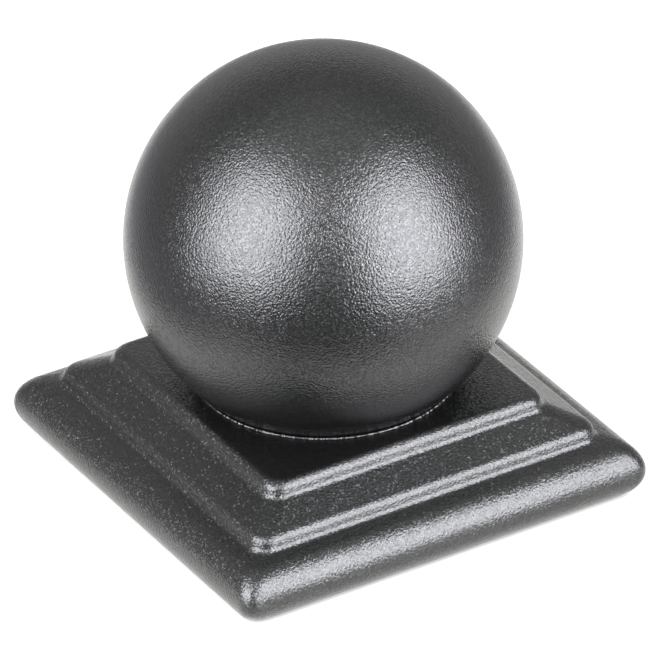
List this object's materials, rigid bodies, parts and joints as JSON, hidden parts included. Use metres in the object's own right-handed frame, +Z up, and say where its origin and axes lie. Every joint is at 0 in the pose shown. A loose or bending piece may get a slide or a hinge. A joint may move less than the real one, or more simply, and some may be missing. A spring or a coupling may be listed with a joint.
{
  "type": "ball post cap",
  "caption": "Ball finial on a stepped square cap with a rounded rim; the hollow underside drops over the top of a square post.",
  "frame": {"origin": "centre of the square underside, in the plane of the rim's flat foot", "axes": "+Z up through the middle of the ball; +X and +Y square to the sides of the base"},
  "size_m": [0.1184, 0.1184, 0.1153],
  "materials": {
    "powder_coat": "fine textured metallic powder coat, satin anthracite, on cast aluminium"
  },
  "bodies": {
    "root": {"stepped_base": "powder_coat", "ball": "powder_coat"}
  },
  "joints": []
}
